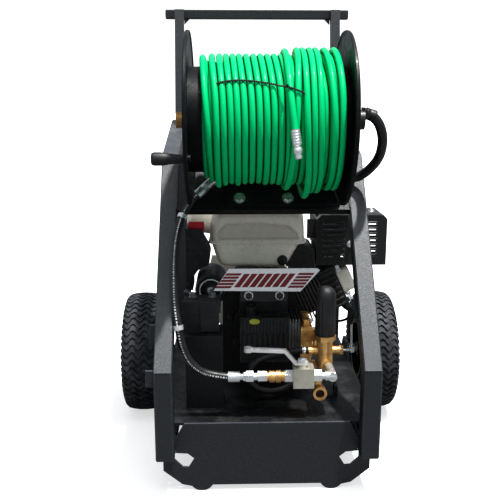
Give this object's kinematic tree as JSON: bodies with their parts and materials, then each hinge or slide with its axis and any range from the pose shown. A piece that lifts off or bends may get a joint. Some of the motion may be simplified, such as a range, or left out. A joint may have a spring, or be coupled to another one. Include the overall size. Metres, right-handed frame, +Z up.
{
  "type": "pressure washer",
  "caption": "Petrol-engine pressure washer on a two-wheeled trolley, with a direct-driven plunger pump and a hose reel.",
  "frame": {"origin": "on the ground under the middle of the machine's overall box", "axes": "+X to the right seen from the front, +Y from the reel towards the push handle, +Z up"},
  "size_m": [0.744, 0.7535, 1.109],
  "materials": {
    "frame_paint": "textured black powder coat",
    "reel_paint": "satin black paint",
    "green_hose": "glossy smooth green cover",
    "steel": "zinc plated",
    "dark_steel": "machined",
    "brass": "forged, satin",
    "aluminium": "cast",
    "checker": "bright checker plate",
    "engine_black": "satin black paint",
    "engine_cream": "glossy cream paint",
    "black_rubber": "matt",
    "tyre_rubber": "matt",
    "black_plastic": "moulded, fine grain",
    "red_plastic": "glossy",
    "valve_block": "zinc plated, pale"
  },
  "bodies": {
    "chassis": {"side_frame_left": "frame_paint", "side_frame_right": "frame_paint", "front_apron": "frame_paint", "base_tray": "frame_paint", "push_handle": "frame_paint", "reel_platform": "frame_paint", "reel_stand": "reel_paint", "platform_bolts": "steel", "engine_mounts": "black_rubber", "reel_swivel": "brass", "stub_axles": "steel", "battery": "black_plastic", "engine_crankcase": "engine_black", "engine_cylinder": "engine_black", "engine_piston": "aluminium", "cylinder_head": "engine_black", "rocker_cover": "engine_cream", "fan_housing": "engine_cream", "recoil_cover": "engine_black", "fuel_tank": "engine_cream", "control_box": "black_plastic", "starter_motor": "engine_black", "muffler": "dark_steel", "muffler_guard": "engine_black", "carburettor": "aluminium", "air_cleaner": "black_plastic", "pump_crankcase": "engine_black", "pump_head": "aluminium", "pump_plungers": "steel", "pump_manifold": "brass", "unloader_body": "brass", "steel_fittings": "steel", "ball_valve_body": "valve_block", "quick_coupler": "brass", "feed_hose": "black_rubber", "whip_hose": "black_rubber", "bypass_hose": "black_rubber", "checker_plate": "checker", "plate_bracket": "engine_black"},
    "reel": {"reel_drum": "reel_paint", "reel_axle": "brass", "hose_winding": "green_hose", "hose_tail": "green_hose", "hose_end_fitting": "steel"},
    "crank_knob": {"crank_knob": "black_plastic"},
    "wheel_left": {"tyre_left": "tyre_rubber", "rim_left": "reel_paint"},
    "wheel_right": {"tyre_right": "tyre_rubber", "rim_right": "reel_paint"},
    "engine_shaft": {"crankshaft": "dark_steel", "flywheel": "dark_steel"},
    "ball_valve_lever": {"ball_valve_lever": "steel"},
    "unloader_knob": {"unloader_knob": "black_plastic"},
    "idle_lever": {"idle_lever": "steel"},
    "throttle_lever": {"throttle_lever": "black_plastic"},
    "choke_lever": {"choke_lever": "black_plastic"},
    "fuel_valve_lever": {"fuel_valve_lever": "black_plastic"},
    "engine_switch": {"engine_switch": "red_plastic"},
    "fuel_cap": {"fuel_cap": "black_plastic"},
    "recoil_grip": {"recoil_grip": "black_plastic"}
  },
  "joints": [
    {"name": "reel_spin", "type": "hinge", "parent": "chassis", "child": "reel", "pos_m": [0, -0.1932, 0.82], "axis": [1, 0, 0], "continuous": true},
    {"name": "crank_knob_spin", "type": "hinge", "parent": "reel", "child": "crank_knob", "pos_m": [-0.2, -0.3232, 0.7485], "axis": [1, 0, 0], "continuous": true},
    {"name": "wheel_left_spin", "type": "hinge", "parent": "chassis", "child": "wheel_left", "pos_m": [-0.322, 0.1748, 0.165], "axis": [1, 0, 0], "continuous": true},
    {"name": "wheel_right_spin", "type": "hinge", "parent": "chassis", "child": "wheel_right", "pos_m": [0.322, 0.1748, 0.165], "axis": [1, 0, 0], "continuous": true},
    {"name": "engine_shaft_spin", "type": "hinge", "parent": "chassis", "child": "engine_shaft", "pos_m": [0, 0.0868, 0.298], "axis": [0, 1, 0], "continuous": true},
    {"name": "ball_valve_turn", "type": "hinge", "parent": "chassis", "child": "ball_valve_lever", "pos_m": [0.079, -0.2552, 0.261], "axis": [0, 0, 1], "range_deg": [0, 90]},
    {"name": "unloader_adjust", "type": "hinge", "parent": "chassis", "child": "unloader_knob", "pos_m": [0.139, -0.1772, 0.35], "axis": [0, 0, 1], "range_deg": [-180, 180]},
    {"name": "idle_lever_swing", "type": "hinge", "parent": "chassis", "child": "idle_lever", "pos_m": [0.185, -0.1772, 0.292], "axis": [1, 0, 0], "range_deg": [-12, 12], "stiffness_Nm_per_rad": 0.3},
    {"name": "throttle_swing", "type": "hinge", "parent": "chassis", "child": "throttle_lever", "pos_m": [0.194, 0.1728, 0.496], "axis": [0, 0, 1], "range_deg": [-11, 11]},
    {"name": "choke_swing", "type": "hinge", "parent": "chassis", "child": "choke_lever", "pos_m": [0.194, 0.1728, 0.478], "axis": [0, 0, 1], "range_deg": [-11, 11]},
    {"name": "fuel_valve_swing", "type": "hinge", "parent": "chassis", "child": "fuel_valve_lever", "pos_m": [0.194, 0.1728, 0.46], "axis": [0, 0, 1], "range_deg": [-11, 11]},
    {"name": "engine_switch_rock", "type": "hinge", "parent": "chassis", "child": "engine_switch", "pos_m": [-0.163, -0.0052, 0.552], "axis": [1, 0, 0], "range_deg": [-6, 6]},
    {"name": "fuel_cap_turn", "type": "hinge", "parent": "chassis", "child": "fuel_cap", "pos_m": [-0.03, 0.1068, 0.616], "axis": [0, 0, 1], "range_deg": [0, 90]},
    {"name": "recoil_pull", "type": "slide", "parent": "chassis", "child": "recoil_grip", "axis": [0, 0, 1], "range_m": [0, 0.12], "stiffness_N_per_m": 40, "springref_m": -0.02}
  ]
}
